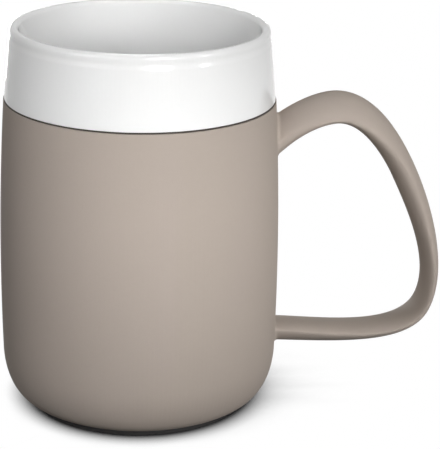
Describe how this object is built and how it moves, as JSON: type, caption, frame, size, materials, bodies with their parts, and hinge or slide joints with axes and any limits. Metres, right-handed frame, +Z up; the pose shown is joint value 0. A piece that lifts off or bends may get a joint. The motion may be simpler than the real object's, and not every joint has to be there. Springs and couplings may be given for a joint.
{
  "type": "insulated mug",
  "caption": "Double-wall insulated mug: white liner with a rounded drinking band in a taupe barrel-shaped shell, with an open loop handle and a dark non-slip foot pad.",
  "frame": {"origin": "on the mug's axis, at the underside of the foot pad, where the mug stands on a table", "axes": "+Z up along the mug's axis, +X towards the handle, which lies in the XZ plane"},
  "size_m": [0.1345, 0.084, 0.1154],
  "materials": {
    "liner": "glossy white moulding",
    "seal": "soft dark ring",
    "shell": "satin taupe moulding",
    "handle": "satin taupe moulding",
    "foot": "dull dark grey"
  },
  "bodies": {
    "root": {"liner": "liner", "seal_ring": "seal", "outer_shell": "shell", "handle": "handle", "foot_pad": "foot"}
  },
  "joints": []
}
